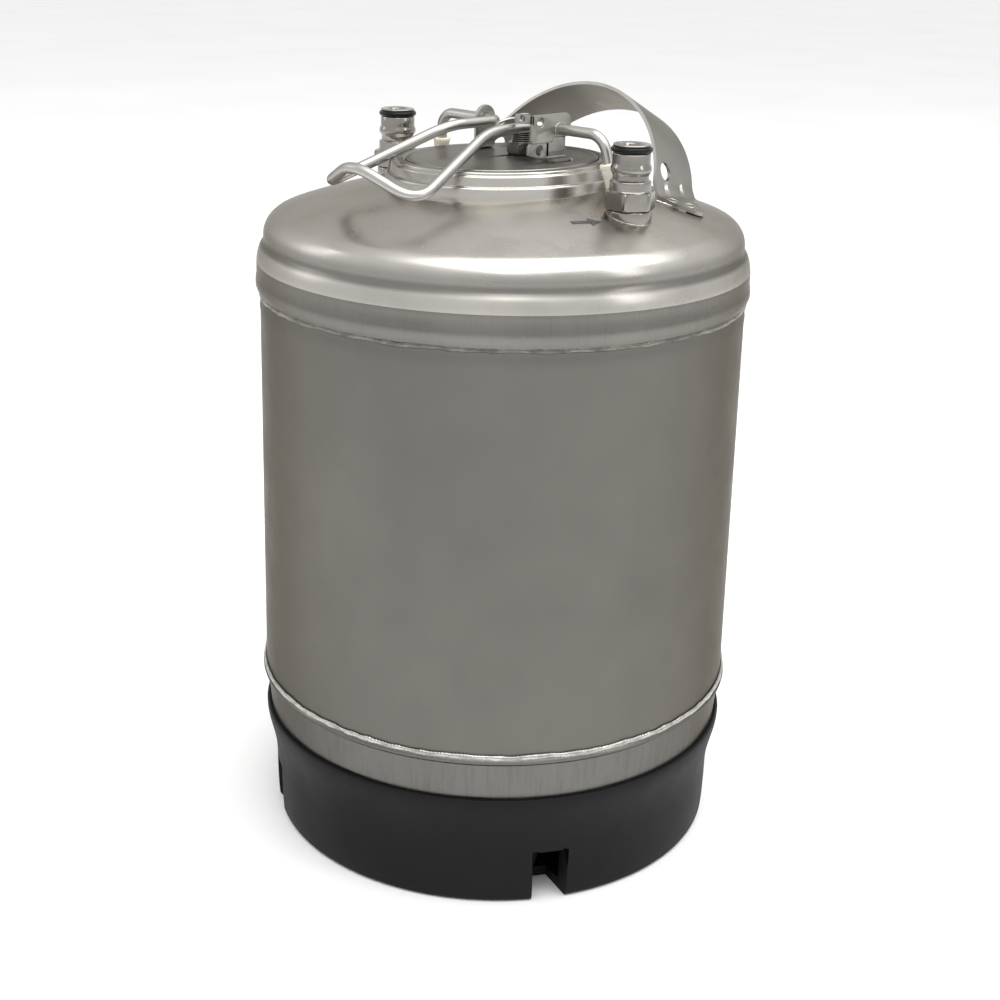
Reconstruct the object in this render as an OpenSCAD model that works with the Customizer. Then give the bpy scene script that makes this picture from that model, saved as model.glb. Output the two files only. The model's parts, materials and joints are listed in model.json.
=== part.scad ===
// Small ball-lock keg for beer: welded steel vessel, rubber boot, clamped lid,
// two valve posts with dip tubes, and a strap handle.
// Origin: centre of the boot's bottom face.  +Z up, liquid post at +X, gas post at -X,
// bail grip towards -Y, strap handle at +Y.

/* [Vessel] */
// Outer radius of the cylindrical wall
body_r = 112; // [111.5:0.1:112.5]
// Thickness of every pressed steel sheet of the vessel
sheet_t = 1.2; // [1:0.1:1.6]
// Height of the lower circumference weld
lower_weld_z = 75.5; // [75:0.5:77]
// Height of the upper circumference weld
upper_weld_z = 257.8; // [250:0.5:260]
// Radius of the straight band between the upper weld and the step
band_r = 113.5; // [113.2:0.1:114]
// Height where the straight band ends and the step begins
band_top_z = 275.7; // [274:0.1:276]
// Radius of the dome's skirt above the step
skirt_r = 110.2; // [109:0.1:110.4]
// Height where the knuckle starts
knuckle_z = 284; // [283:0.5:285]
// Radius of the knuckle
knuckle_r = 11; // [9:0.5:13]
// Radius of the shallow crown
crown_r = 300; // [290:5:330]

/* [Hatch] */
// Outer half length of the hatch collar, along Y
collar_a = 56.5; // [55:0.5:58]
// Outer half width of the hatch collar, along X
collar_b = 49; // [48:0.5:50]
// Height of the collar's rim
rim_z = 319.5; // [318:0.5:321]
// Offset of the hatch along Y
hatch_y = -2; // [-4:0.5:0]

/* [Bail] */
// Wire radius
wire_r = 2.4; // [2:0.1:2.6]
// Height of the bail's pivot line
pivot_z = 334; // [333:0.5:336]
// Y of the bail's pivot line
pivot_y = 8; // [6:0.5:9]
// Half distance between the two arms at the pivot
arm_x = 13; // [12:0.5:14]
// Half distance between the two legs
leg_x = 53; // [52:0.5:54]

/* [Posts] */
// Distance of both posts from the keg's axis
post_x = 75; // [74:0.5:76]
// Height of the posts' base ring above the origin
post_z = 302; // [301.5:0.1:303]
// Travel of the poppet inside a post
poppet_travel = 3; // [2:0.5:3]

/* [Strap handle] */
// Width of the strap
strap_w = 30; // [28:1:32]
// Thickness of the strap
strap_t = 1.6; // [1.5:0.1:2.5]
// Outward lean of the arch, degrees
strap_lean = 27; // [20:1:30]
// Outer radius of the arch
strap_r = 59.5; // [58:0.5:63]

/* [Boot] */
// Number of drain notches in the boot's lower edge
notch_count = 4; // [3:1:6]
// Height of a drain notch
notch_h = 25; // [20:1:26]

/* [Hidden] */
$fn = 96;

steel = [0.66, 0.65, 0.62];
bright = [0.8, 0.79, 0.77];
black = [0.09, 0.09, 0.09];
cream = [0.9, 0.87, 0.8];
gap = 0.3;

// Dome: a crown sphere that meets the knuckle's torus tangentially.
knuckle_c = skirt_r - knuckle_r;
crown_z = knuckle_z - sqrt(pow(crown_r - knuckle_r, 2) - pow(knuckle_c, 2));
crown_edge = asin(knuckle_c / (crown_r - knuckle_r));
function dome_z(r) = crown_z + sqrt(pow(crown_r, 2) - r * r);

// Bottom bowl: chime strip, knuckle and a shallow dish.
chime_r = 111.2;
chime_low_r = 109.4;
chime_low_z = 49;
bowl_r = 38;
dish_r = 420;
bowl_c = chime_low_r - bowl_r;
dish_z = chime_low_z + sqrt(pow(dish_r - bowl_r, 2) - pow(bowl_c, 2));
bowl_edge = asin(bowl_c / (dish_r - bowl_r));

// Boot
boot_top_z = 55;
boot_bottom_r = 104.5;
boot_waist_r = 107.4;
boot_lip_r = 112.3;
boot_floor_hole_r = 45;
boot_floor_t = 5;
notch_angle = -30;
notch_outer_w = 19;
notch_inner_w = 8;

// Hatch: opening, collar steps and the lid below its lip.
lip_w = 9;
open_a = collar_a - lip_w;
open_b = collar_b - lip_w;
lip_t = 2.2;
collar_t = 1.8;
collar_base_z = 304;
step_low_z = 313.5;
step_high_z = 317.5;
lid_flange_z = rim_z - lip_t - 2.6;
lid_flange_t = 1.8;
lid_top_z = rim_z + 0.4;
seal_r = 1.4;
strap_y = 34;
valve_x = 1.8;
valve_y = 9.5;

// Ears and guard
ear_in_x = 21.9;
ear_t = 1.4;
ear_y0 = 1.8;
ear_w = 12.4;
ear_top_z = 341;
guard_x = ear_in_x + ear_t + 0.4;
guard_t = 1.4;
guard_front_y = -9.5;
hole_clear = 0.06;

// Bail: bends and corners
bend_r = 5.5;
leg_bend_r = 9;
grip_y = -81;
grip_x = 30;
grip_z = 310.5;
bow_y = -91;
bow_z = 324.5;
leg_lean = 8;
leg_splay = 10;
leg_len = 16.2;
cap_len = 13.5;
joint_swell = 0.25;

// Points on a straight run a-b-c whose corner b is rounded over the length r.
function toward(a, b, r) = a + (b - a) * (r / norm(b - a));
function blend(a, b, c, t) = a * pow(1 - t, 2) + b * (2 * t * (1 - t)) + c * pow(t, 2);
function corner(a, b, c, r, n = 6) =
    [for (i = [0 : n]) blend(toward(b, a, r), b, toward(b, c, r), i / n)];
function unit(v) = v / norm(v);

// Closed round tube along a list of points that never runs straight up.
module tube_along(points, r, sides = 16) {
    last = len(points) - 1;
    rings = [for (i = [0 : last])
        let (t = unit(points[min(i + 1, last)] - points[max(i - 1, 0)]))
        let (n = unit(cross(t, [0, 0, 1])))
        let (b = cross(n, t))
        for (k = [0 : sides - 1])
            points[i] + r * (cos(360 * k / sides) * n + sin(360 * k / sides) * b)];
    walls = [for (i = [0 : last - 1])
        for (k = [0 : sides - 1])
            [i * sides + k, i * sides + (k + 1) % sides,
             (i + 1) * sides + (k + 1) % sides, (i + 1) * sides + k]];
    first_cap = [for (k = [sides - 1 : -1 : 0]) k];
    last_cap = [for (k = [0 : sides - 1]) last * sides + k];
    polyhedron(points = rings, faces = concat([first_cap], walls, [last_cap]));
}

module ring(r_out, r_in, h, z = 0) {
    translate([0, 0, z]) difference() {
        cylinder(r = r_out, h = h);
        translate([0, 0, -1]) cylinder(r = r_in, h = h + 2);
    }
}

module o_ring(r, section, z) {
    translate([0, 0, z]) rotate_extrude() translate([r, 0]) circle(r = section, $fn = 32);
}

// Oval of half length a along Y and half width b along X.
module oval(a, b, sides = 80)
    polygon([for (i = [0 : sides - 1]) [b * cos(360 * i / sides), a * sin(360 * i / sides)]]);

module oval_ring(out, in, h, z) {
    translate([0, hatch_y, z]) linear_extrude(h) difference() {
        oval(collar_a - out, collar_b - out);
        oval(collar_a - in, collar_b - in);
    }
}

// Everything inside the dome's outer face, shrunk by t.
module dome_envelope(t = 0) {
    rotate_extrude($fn = 128) {
        intersection() {
            translate([0, crown_z]) circle(r = crown_r - t, $fn = 360);
            translate([0, knuckle_z]) square([knuckle_c, 60]);
        }
        translate([0, upper_weld_z - 1]) square([knuckle_c, knuckle_z - upper_weld_z + 5]);
        intersection() {
            translate([knuckle_c, knuckle_z]) circle(r = knuckle_r - t);
            translate([knuckle_c, knuckle_z]) square(knuckle_r);
        }
        translate([knuckle_c - 1, band_top_z]) square([knuckle_r + 1 - t, knuckle_z - band_top_z]);
        polygon([[knuckle_c - 1, upper_weld_z - 1], [body_r - t, upper_weld_z - 1],
            [body_r - t, upper_weld_z], [body_r + 2 - t, upper_weld_z + 3.4],
            [body_r + 2 - t, upper_weld_z + 5.2], [band_r - t, upper_weld_z + 8],
            [band_r - t, band_top_z], [band_r - 0.9 - t, band_top_z + 2.6],
            [skirt_r + 0.5 - t, band_top_z + 5], [skirt_r - t, band_top_z + 7],
            [knuckle_c - 1, band_top_z + 7]]);
    }
}

module top_dome() color(bright) difference() {
    dome_envelope();
    difference() {
        dome_envelope(sheet_t);
        translate([0, 0, upper_weld_z - 2]) cylinder(r = 200, h = 1);
    }
    translate([0, 0, upper_weld_z - 3]) cylinder(r = 130, h = 3);
    translate([0, 0, upper_weld_z - 3]) cylinder(r = body_r - sheet_t, h = 5);
    translate([0, hatch_y, 290]) linear_extrude(40) oval(collar_a + 0.3, collar_b + 0.3, 40);
    for (s = [-1, 1]) translate([s * post_x, 0, 290]) cylinder(r = 9.8, h = 20);
}

module body_shell() color(steel)
    ring(body_r, body_r - sheet_t, upper_weld_z - lower_weld_z, lower_weld_z);

// Half outline of the bowl's outer face, shrunk by t.
module bowl_envelope(t = 0) {
    rotate_extrude($fn = 128) {
        polygon([[0, chime_low_z - 1], [chime_low_r - t, chime_low_z - 1],
            [chime_low_r - t, chime_low_z], [chime_r - t, 68], [chime_r - t, 71],
            [113.6 - t, 73], [113.6 - t, 74.3], [body_r - t, lower_weld_z],
            [body_r - t, lower_weld_z + 1], [0, lower_weld_z + 1]]);
        intersection() {
            translate([bowl_c, chime_low_z]) circle(r = bowl_r - t);
            translate([bowl_c, chime_low_z - bowl_r]) square(bowl_r);
        }
        intersection() {
            translate([0, dish_z]) circle(r = dish_r - t, $fn = 720);
            square([bowl_c + 0.01, chime_low_z]);
        }
    }
}

module bottom_bowl() color(steel) difference() {
    bowl_envelope();
    bowl_envelope(sheet_t);
    translate([0, 0, lower_weld_z]) cylinder(r = 130, h = 4);
}

module rubber_boot() color(black) difference() {
    rotate_extrude($fn = 128) polygon([
        [boot_floor_hole_r, 0], [boot_bottom_r, 0], [boot_waist_r - 1.1, 0.9],
        [boot_waist_r - 0.2, 3.2], [boot_waist_r, 8], [boot_waist_r + 0.3, 27],
        [boot_waist_r + 1, 33], [boot_lip_r - 1.6, 43.5], [boot_lip_r - 0.4, 47.5],
        [boot_lip_r, 51], [boot_lip_r - 0.3, 53.6], [boot_lip_r - 1.2, boot_top_z],
        [chime_low_r + 0.3, boot_top_z], [60, 40], [60, boot_floor_t],
        [boot_floor_hole_r, boot_floor_t]]);
    bowl_envelope(-gap);
    translate([0, 0, boot_floor_t]) cylinder(r = 84, h = 40);
    rotate_extrude($fn = 128) polygon([
        [50, boot_floor_t], [99, boot_floor_t], [99, 24], [92, 29], [50, 29]]);
    for (i = [0 : notch_count - 1]) rotate(notch_angle + i * 360 / notch_count)
        translate([0, 0, -1]) linear_extrude(notch_h + 1) polygon([
            [boot_waist_r - 20, -notch_inner_w / 2], [boot_waist_r + 6, -notch_outer_w / 2],
            [boot_waist_r + 6, notch_outer_w / 2], [boot_waist_r - 20, notch_inner_w / 2]]);
}

// Ring welded into the dome: two steps outside, an inward lip on top.
module hatch_collar() color(bright) {
    oval_ring(0, collar_t, step_low_z - collar_base_z, collar_base_z);
    oval_ring(0, 4, 1.4, step_low_z - 1.4);
    oval_ring(2.2, 4, step_high_z - step_low_z, step_low_z - 0.2);
    oval_ring(2.2, 4.4, 1.3, step_high_z - 1.3);
    oval_ring(3.8, lip_w, lip_t, rim_z - lip_t);
}

// Frame of the leaning arch: its centre, with Y across the strap.
module strap_frame() translate([0, strap_y, dome_z(68) - 1]) rotate([-strap_lean, 0, 0])
    translate([0, 0, -7.5]) children();

module strap_tab() {
    tab_x = 69.5;
    tab_y = strap_y + 12.5;
    n = unit([tab_x, tab_y, dome_z(norm([tab_x, tab_y])) - crown_z]);
    translate([tab_x, tab_y, dome_z(norm([tab_x, tab_y]))])
        rotate([atan2(-n[1], n[2]), 0, 0]) rotate([0, asin(n[0]), 0])
            translate([0, 0, 0.5]) linear_extrude(strap_t) {
                polygon([[-12.5, -14], [-3.5, -14.5], [8, -7], [10.5, -2.5], [8.5, 2],
                    [-5.5, 10.5], [-12.5, 13.5]]);
                translate([6.8, -2.8]) circle(r = 4);
            }
}

module strap_handle() color(bright) {
    difference() {
        strap_frame() rotate([-90, 0, 0]) linear_extrude(strap_w) difference() {
            circle(r = strap_r, $fn = 180);
            circle(r = strap_r - strap_t, $fn = 180);
            translate([-100, 6.5]) square([200, 100]);
        }
        dome_envelope(-0.5);
        translate([-100, strap_y + 14, 315]) rotate([0, 90, 0]) cylinder(r = 4, h = 200);
        strap_frame() translate([0, 24, 0]) rotate([0, -13, 0])
            translate([0, 0, strap_r - 1]) cube([2.2, 6, 14], center = true);
    }
    for (s = [0, 1]) mirror([s, 0, 0]) strap_tab();
}

// Threaded stub welded through the dome, under a post.
module nipple(x) color(bright) translate([x, 0, post_z]) difference() {
    union() {
        translate([0, 0, -9]) cylinder(r = 7.7, h = 9.5);
        translate([0, 0, -3.4]) cylinder(r = 9.7, h = 7.4);
        cylinder(r = 7, h = 13);
    }
    translate([0, 0, -20]) cylinder(r = 5.2, h = 50);
}

// Ball-lock post: hexagon, collar, groove and plug cylinder with an O-ring seat.
module post(x, notched) color(bright) translate([x, 0, post_z]) difference() {
    union() {
        intersection() {
            translate([0, 0, 4.2]) cylinder(r = 11.55, h = 7.9, $fn = 6);
            translate([0, 0, 4.2]) rotate_extrude() polygon([[0, 0], [10.9, 0], [11.6, 0.8],
                [11.6, 7.1], [10.6, 7.9], [0, 7.9]]);
        }
        translate([0, 0, 12]) rotate_extrude() polygon([[0, 0], [8.9, 0], [8.9, 3.8],
            [7.8, 5], [7.8, 7], [8.8, 8.4], [8.8, 10.2], [8.15, 11.4], [8.15, 16],
            [7, 16.3], [7, 19], [8.1, 19.2], [8.1, 19.7], [7.7, 20], [0, 20]]);
    }
    translate([0, 0, 3]) cylinder(r = 7.12, h = 10.6);
    translate([0, 0, 13]) cylinder(r = 5.4, h = 14);
    translate([0, 0, 26.9]) cylinder(r1 = 5.4, r2 = 2.7, h = 2.8);
    translate([0, 0, 29]) cylinder(r = 2.7, h = 10);
    translate([0, 0, 30.2]) cylinder(r1 = 3, r2 = 4.6, h = 2);
    if (notched) for (a = [0 : 60 : 300]) rotate(a + 30)
        translate([11.2, 0, 8]) rotate([90, 0, 0]) cylinder(r = 1.3, h = 1.6, center = true);
}

// O-ring of the post, with the land that a coupler's bore slides over.
module post_seal(x) color(black) translate([x, 0, post_z]) intersection() {
    o_ring(7.6, 1.4, 29.6);
    cylinder(r = 8.9, h = 40);
}

// Tube with a flared head that the post clamps on the nipple.
module dip_tube(x, low_z) color(bright) translate([x, 0, 0]) difference() {
    union() {
        translate([0, 0, low_z]) cylinder(r = 3.95, h = post_z + 15 - low_z);
        translate([0, 0, post_z + 14.2]) cylinder(r = 5.3, h = 1);
    }
    translate([0, 0, low_z - 1]) cylinder(r = 3.2, h = 400);
    translate([-10, 0, low_z - 4]) rotate([20, 0, 0]) cube([20, 20, 5]);
}

module tube_seal(x) color(black) translate([x, 0, post_z]) o_ring(4.6, 0.58, 13.6);

// Poppet: pin that a coupler pushes, seal groove and three guide legs.
module poppet(x) color(bright) translate([x, 0, post_z]) {
    translate([0, 0, 28.9]) cylinder(r = 1.5, h = 2.8);
    translate([0, 0, 28.8]) cylinder(r = 2.2, h = 0.6);
    translate([0, 0, 26]) cylinder(r = 1.6, h = 3);
    translate([0, 0, 25.4]) cylinder(r = 3.9, h = 1.2);
    translate([0, 0, 22]) cylinder(r = 1.3, h = 3.6);
    for (a = [0, 120, 240]) rotate(a) translate([3.4, -0.5, 21.6]) cube([1.5, 1, 4.6]);
}

module poppet_seal(x) color(black) translate([x, 0, post_z + 26.7])
    rotate_extrude() polygon([[1.7, 0], [4, 0], [4, 1.3], [3.2, 2], [1.7, 2]]);

module helix_spring(x, y, z0, z1, r, wire, turns) {
    steps = 14;
    n = turns * steps;
    rise = (z1 - z0 - 2 * wire) / n;
    translate([x, y, 0]) tube_along([for (i = [0 : n])
        [r * cos(360 * i / steps), r * sin(360 * i / steps), z0 + wire + rise * i]], wire, 8);
}

module poppet_spring(x) color(steel)
    helix_spring(x, 0, post_z + 15.3, post_z + 25.3, 2.4, 0.35, 5);

// Pressed oval lid: raised panel with a rounded edge, and a flange under the collar's lip.
module lid_plate() color(bright) translate([0, hatch_y, 0]) difference() {
    union() {
        translate([0, 0, lid_flange_z - lid_flange_t]) linear_extrude(lid_flange_t)
            oval(open_a + 4.2, open_b + 4.2);
        translate([0, 0, lid_flange_z - 1]) linear_extrude(lid_top_z - lid_flange_z)
            oval(open_a - 0.6, open_b - 0.6);
        translate([0, 0, lid_top_z - 1.1]) linear_extrude(1.1)
            oval(open_a - 1.4, open_b - 1.4);
    }
    translate([0, 0, lid_flange_z - 4]) linear_extrude(lid_top_z - lid_flange_z + 2.2)
        oval(open_a - 2.4, open_b - 2.4);
    translate([valve_x, valve_y - hatch_y, 300]) cylinder(r = 5.1, h = 40);
}

module lid_seal() color(black) translate([0, hatch_y, lid_flange_z]) {
    linear_extrude(2.4) difference() {
        oval(open_a + 3.9, open_b + 3.9);
        oval(open_a + 0.9, open_b + 0.9);
    }
}

// Upright strip with a rounded top, a pivot hole and a short welded foot.
module ear_strip() {
    difference() {
        union() {
            translate([0, ear_y0, lid_top_z]) cube([ear_t, ear_w, pivot_z - lid_top_z]);
            translate([0, pivot_y, pivot_z]) rotate([0, 90, 0]) cylinder(r = ear_w / 2, h = ear_t);
        }
        translate([-1, pivot_y, pivot_z]) rotate([0, 90, 0])
            cylinder(r = wire_r + hole_clear, h = ear_t + 2);
    }
    translate([0, ear_y0, lid_top_z]) cube([4.6, ear_w, 1.3]);
}

module far_ear() color(bright) translate([-ear_in_x, 0, 0]) mirror([1, 0, 0]) ear_strip();

module near_ear() color(bright) translate([ear_in_x, 0, 0]) {
    ear_strip();
    difference() {
        translate([0, guard_front_y, lid_top_z]) cube([ear_t, 12, 8.4]);
        translate([-1, -2.2, lid_top_z + 5]) rotate([0, 90, 0]) cylinder(r = 2.3, h = 4);
        translate([-1, 1.8, lid_top_z]) rotate([-18, 0, 0]) translate([0, -20, -10])
            cube([4, 20, 10]);
    }
}

// Folded guard on the bail wire: a side plate outside the near ear and a front face.
module valve_guard() color(bright) {
    side_z0 = pivot_z - 5.5;
    difference() {
        union() {
            translate([guard_x, guard_front_y, side_z0]) cube([guard_t, 13.5, ear_top_z - side_z0]);
            translate([guard_x, guard_front_y, pivot_z - 3.4])
                cube([guard_t, 22, ear_top_z - pivot_z + 3.4]);
            translate([guard_x, guard_front_y, pivot_z - 3.4])
                cube([guard_t, 25, ear_top_z - pivot_z + 0.4]);
            translate([guard_x, guard_front_y + 22, ear_top_z - 3]) rotate([0, 90, 0])
                cylinder(r = 3, h = guard_t);
            translate([arm_x + 1, guard_front_y, pivot_z + wire_r + 0.6])
                cube([guard_x + guard_t - arm_x - 1, guard_t, ear_top_z - pivot_z - wire_r]);
        }
        translate([guard_x - 1, pivot_y, pivot_z]) rotate([0, 90, 0])
            cylinder(r = wire_r, h = guard_t + 2);
        translate([guard_x - 1, guard_front_y + 5.6, pivot_z + 3.6]) rotate([0, 90, 0])
            cylinder(r = 2.1, h = guard_t + 2);
        translate([arm_x + 6, guard_front_y + 3, pivot_z + 5.4]) rotate([90, 0, 0])
            cylinder(r = 1.6, h = 6);
    }
}

module relief_valve_body() color(steel) translate([valve_x, valve_y, 0]) difference() {
    union() {
        translate([0, 0, lid_top_z - 9]) cylinder(r = 4.9, h = 12);
        translate([0, 0, lid_top_z + 1.1]) cylinder(r = 8, h = 4.6, $fn = 6);
        translate([0, 0, lid_top_z + 1.1]) cylinder(r = 5.6, h = 12.6);
    }
    translate([0, 0, lid_top_z - 10]) cylinder(r = 2.2, h = 40);
    translate([0, 0, lid_top_z - 3]) cylinder(r = 4, h = 14.5);
}

module relief_valve_nut() color(bright) translate([valve_x, valve_y, lid_top_z - 5.9])
    difference() {
        cylinder(r = 9, h = 4, $fn = 6);
        translate([0, 0, -1]) cylinder(r = 4.92, h = 8);
    }

module relief_valve_gasket() color(black) translate([valve_x, valve_y, 0])
    ring(7.2, 5, 1.05, lid_top_z + 0.03);

// Stem through the cap, with a disc below and an eye above for the ring.
module relief_stem() color(bright) translate([valve_x, valve_y, lid_top_z]) difference() {
    union() {
        translate([0, 0, -1.6]) cylinder(r = 3.6, h = 1.6);
        translate([0, 0, -1]) cylinder(r = 1.4, h = 17);
        translate([0, 0, 14.1]) cylinder(r = 2.1, h = 4.4);
    }
    translate([-5, 0, 16.4]) rotate([0, 90, 0]) cylinder(r = 1.1, h = 10);
}

module relief_seal() color(black) translate([valve_x, valve_y, 0])
    ring(3.5, 2.25, 1.2, lid_top_z - 2.95);

module relief_spring() color(steel)
    helix_spring(valve_x, valve_y, lid_top_z + 0.2, lid_top_z + 11.2, 2.75, 0.4, 5);

// Split ring through the stem's eye, resting against the valve's cap.
module relief_pull_ring() color(bright)
    translate([valve_x, valve_y, lid_top_z + 16.4]) rotate([14, 0, 0])
        translate([0, -7.6, 0]) rotate_extrude() translate([7.6, 0]) circle(r = 0.7, $fn = 24);

// Half of the bail for x > 0: pivot run, leg and the bend that joins them.
module bail_side() {
    translate([arm_x + bend_r, pivot_y, pivot_z]) rotate([0, 90, 0])
        cylinder(r = wire_r, h = leg_x - leg_bend_r - arm_x - bend_r);
    translate([leg_x - leg_bend_r - 0.5, pivot_y, pivot_z]) rotate([0, 90, 0])
        cylinder(r = wire_r + joint_swell, h = 1);
    translate([arm_x + bend_r, pivot_y - bend_r, pivot_z]) rotate(90)
        rotate_extrude(angle = 90) translate([bend_r, 0]) circle(r = wire_r, $fn = 32);
    translate([leg_x - leg_bend_r, pivot_y, pivot_z]) rotate([leg_lean, 0, 0]) {
        translate([0, 0, -leg_bend_r]) rotate([90, 0, 0]) rotate(leg_splay)
            rotate_extrude(angle = 90 - leg_splay) translate([leg_bend_r, 0])
                circle(r = wire_r, $fn = 32);
        translate([0, 0, -leg_bend_r]) rotate([0, -leg_splay, 0])
            translate([leg_bend_r, 0, -leg_len]) cylinder(r = wire_r, h = leg_len);
    }
}

grip_start = [arm_x, pivot_y - bend_r, pivot_z];
grip_bend = [arm_x, -24, pivot_z];
grip_corner = [grip_x, grip_y, grip_z];
grip_middle = [0, bow_y, bow_z];
function mirrored(p) = [-p[0], p[1], p[2]];
grip_half = concat([grip_start - [0, 0.3, 0]], corner(grip_start, grip_bend, grip_corner, 10),
    corner(grip_bend, grip_corner, grip_middle, 13, 9));
grip_points = concat(grip_half,
    corner(grip_corner, grip_middle, mirrored(grip_corner), 12),
    [for (i = [len(grip_half) - 1 : -1 : 0]) mirrored(grip_half[i])]);

module bail_wire() color(bright) {
    bail_side();
    mirror([1, 0, 0]) bail_side();
    for (s = [-1, 1]) translate([s * arm_x, pivot_y - bend_r + 0.1, pivot_z]) rotate([90, 0, 0])
        cylinder(r = wire_r + joint_swell, h = 1);
    tube_along(grip_points, wire_r);
}

// Tapered plastic cap on the end of a leg.
module leg_cap() color(cream)
    translate([leg_x - leg_bend_r, pivot_y, pivot_z]) rotate([leg_lean, 0, 0])
        translate([0, 0, -leg_bend_r]) rotate([0, -leg_splay, 0])
            translate([leg_bend_r, 0, -leg_len - 2]) difference() {
                rotate_extrude() polygon([[0, 0], [1.9, 0], [2.7, 0.8], [4.1, cap_len - 0.6],
                    [3.8, cap_len], [0, cap_len]]);
                translate([0, 0, 2]) cylinder(r = wire_r, h = 30);
            }

module left_leg_cap() mirror([1, 0, 0]) leg_cap();

body_shell();
bottom_bowl();
top_dome();
hatch_collar();
rubber_boot();
strap_handle();
nipple(post_x);  // liquid_nipple
nipple(-post_x);  // gas_nipple
post(post_x, false);  // liquid_post
post(-post_x, true);  // gas_post
post_seal(post_x);  // liquid_post_seal
post_seal(-post_x);  // gas_post_seal
dip_tube(post_x, 17);  // liquid_dip_tube
dip_tube(-post_x, post_z - 35);  // gas_dip_tube
tube_seal(post_x);  // liquid_tube_seal
tube_seal(-post_x);  // gas_tube_seal
poppet(post_x);  // liquid_poppet
poppet(-post_x);  // gas_poppet
poppet_seal(post_x);  // liquid_poppet_seal
poppet_seal(-post_x);  // gas_poppet_seal
poppet_spring(post_x);  // liquid_poppet_spring
poppet_spring(-post_x);  // gas_poppet_spring
lid_plate();
lid_seal();
far_ear();
near_ear();
relief_valve_body();
relief_valve_nut();
relief_valve_gasket();
relief_stem();
relief_seal();
relief_spring();
relief_pull_ring();
bail_wire();
valve_guard();
left_leg_cap();
leg_cap();  // right_leg_cap
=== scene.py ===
"""Looks of the small beer keg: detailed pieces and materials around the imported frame."""
import json
import math

import bmesh
import bpy
from mathutils import Matrix, Vector, noise


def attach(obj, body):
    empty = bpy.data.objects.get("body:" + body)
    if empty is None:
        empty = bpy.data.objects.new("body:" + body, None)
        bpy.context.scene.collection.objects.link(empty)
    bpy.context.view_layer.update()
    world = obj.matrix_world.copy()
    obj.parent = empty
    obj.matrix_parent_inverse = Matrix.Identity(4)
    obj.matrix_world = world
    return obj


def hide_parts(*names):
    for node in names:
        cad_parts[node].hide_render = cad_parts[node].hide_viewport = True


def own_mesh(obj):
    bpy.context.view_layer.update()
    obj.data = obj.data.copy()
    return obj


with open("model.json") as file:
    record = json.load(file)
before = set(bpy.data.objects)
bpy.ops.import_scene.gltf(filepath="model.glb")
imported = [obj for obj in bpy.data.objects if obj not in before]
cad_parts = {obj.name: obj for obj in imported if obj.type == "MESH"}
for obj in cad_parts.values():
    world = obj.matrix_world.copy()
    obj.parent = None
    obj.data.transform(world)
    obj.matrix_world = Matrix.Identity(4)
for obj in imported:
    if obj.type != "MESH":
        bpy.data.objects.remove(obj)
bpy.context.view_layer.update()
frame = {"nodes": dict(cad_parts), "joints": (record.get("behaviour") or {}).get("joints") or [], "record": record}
MM = 0.001
TAU = 2 * math.pi


# ---------------------------------------------------------------- sizes, in millimetres

PIVOT = Vector(next(j for j in frame["joints"] if j["name"] == "bail_hinge")["pos_m"]) / MM

BODY_R = 112.0
SHEET = 1.2
LOWER_WELD = 75.5
UPPER_WELD = 257.8
BAND_R = 113.5
BAND_TOP = 275.7
SKIRT_R = 110.2
KNUCKLE_Z = 284.0
KNUCKLE_R = 11.0
CROWN_R = 300.0
KNUCKLE_C = SKIRT_R - KNUCKLE_R
CROWN_Z = KNUCKLE_Z - math.sqrt((CROWN_R - KNUCKLE_R) ** 2 - KNUCKLE_C ** 2)
CROWN_EDGE = math.asin(KNUCKLE_C / (CROWN_R - KNUCKLE_R))

CHIME_R = 111.2
CHIME_LOW_R = 109.4
CHIME_LOW_Z = 49.0
BOWL_R = 38.0
DISH_R = 420.0
BOWL_C = CHIME_LOW_R - BOWL_R
DISH_Z = CHIME_LOW_Z + math.sqrt((DISH_R - BOWL_R) ** 2 - BOWL_C ** 2)
BOWL_EDGE = math.asin(BOWL_C / (DISH_R - BOWL_R))

COLLAR_A, COLLAR_B = 56.5, 49.0
HATCH_Y = -2.0
RIM_Z = 319.5
LIP_W = 9.0
LID_TOP = RIM_Z + 0.4
FLANGE_Z = RIM_Z - 4.8
POST_X = 75.0
POST_Z = 302.0
NIPPLE_R = 9.7
POST_FLATS = 10.0

WIRE_R = 2.4
ARM_X = 13.0
LEG_X = 53.0
BEND_R = 5.5
LEG_BEND_R = 9.0
LEG_LEN = 16.2
LEG_LEAN = math.radians(8)
LEG_SPLAY = math.radians(10)
GRIP_CORNER = Vector((30, -81, 310.5))
GRIP_MIDDLE = Vector((0, -91, 324.5))
GRIP_BEND_Y = -24.0
CAP_LEN = 13.5

EAR_X = 21.9
EAR_T = 1.4
EAR_Y0 = 1.8
EAR_W = 12.4
EAR_TOP = 341.0
GUARD_X = EAR_X + EAR_T + 0.4
GUARD_T = 1.4
GUARD_Y = -9.5

VALVE = Vector((1.8, 9.5, LID_TOP))
VALVE_FLATS = 6.93
NUT_FLATS = 7.79
NUT_DROP = 5.9
RING_R = 7.6
RING_WIRE = 0.7
RING_LIFT = 16.4
RING_TILT = math.radians(14)

STRAP_W = 30.0
STRAP_T = 1.6
STRAP_LEAN = math.radians(27)
STRAP_R = 59.5
STRAP_Y = 34.0
STRAP_DROP = 7.5
STRAP_HOLE_R = 4.0
STRAP_TAB = 21.0
SLOT_TURN = math.radians(13)
SLOT_ACROSS = 24.0

NOTCH_ANGLE = -30.0
NOTCH_COUNT = 4
NOTCH_H = 25.0
BOOT_HOLE_R = 45.0


def dome_z(r):
    """Height of the crown's outer face at the distance r from the keg's axis."""
    return CROWN_Z + math.sqrt(CROWN_R ** 2 - r * r)


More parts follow.
